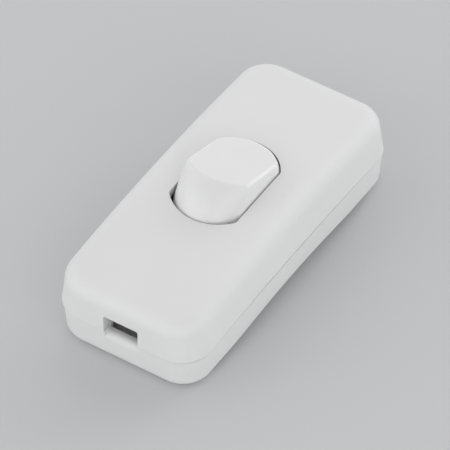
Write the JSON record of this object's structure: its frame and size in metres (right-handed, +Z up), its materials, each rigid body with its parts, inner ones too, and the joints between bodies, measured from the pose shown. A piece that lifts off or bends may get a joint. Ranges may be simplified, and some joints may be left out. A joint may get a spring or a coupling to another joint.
{
  "type": "inline cord switch",
  "caption": "Inline cord switch: arched white two-part housing with a slotted cord inlet in each end and a tilting rocker on top that works a see-saw contact inside.",
  "frame": {"origin": "centre of the two end feet, on the plane the switch rests on", "axes": "+X along the cord from the near inlet to the far one, +Z up through the rocker, +Y across"},
  "size_m": [0.0662, 0.0298, 0.0223],
  "materials": {
    "housing": "white moulded plastic with a fine matt grain",
    "rocker": "polished white moulded plastic",
    "plunger": "natural nylon",
    "clamp": "white moulded plastic, matt",
    "spring_steel": "drawn spring wire",
    "contact_brass": "stamped sheet brass",
    "contact_silver": "silver contact alloy, dull",
    "screw_steel": "zinc-plated steel"
  },
  "bodies": {
    "housing": {"upper_cover": "housing", "lower_base": "housing", "fixed_contact": "contact_silver", "pivot_terminal": "contact_brass", "contact_terminal": "contact_brass", "through_terminal": "contact_brass", "strip_rivets": "contact_brass", "terminal_screws": "screw_steel", "cord_clamp_near": "clamp", "cord_clamp_far": "clamp", "clamp_screws": "screw_steel", "housing_screws": "screw_steel"},
    "rocker": {"rocker": "rocker", "plunger_spring": "spring_steel"},
    "plunger": {"plunger": "plunger"},
    "seesaw": {"contact_seesaw": "contact_brass", "moving_contact": "contact_silver"}
  },
  "joints": [
    {"name": "rocker_tilt", "type": "hinge", "parent": "housing", "child": "rocker", "pos_m": [0, 0, 0.012], "axis": [0, -1, 0], "range_deg": [0, 33]},
    {"name": "plunger_slide", "type": "slide", "parent": "rocker", "child": "plunger", "axis": [0.284, 0, 0.9588], "range_m": [0, 0.0008], "stiffness_N_per_m": 300, "deforming": ["plunger_spring"]},
    {"name": "seesaw_tilt", "type": "hinge", "parent": "housing", "child": "seesaw", "pos_m": [0, 0, 0.00555], "axis": [0, 1, 0], "range_deg": [0, 16]}
  ],
  "couplings": [
    {"joint": "seesaw_tilt", "follows": "rocker_tilt", "ratio": 0.48485}
  ]
}
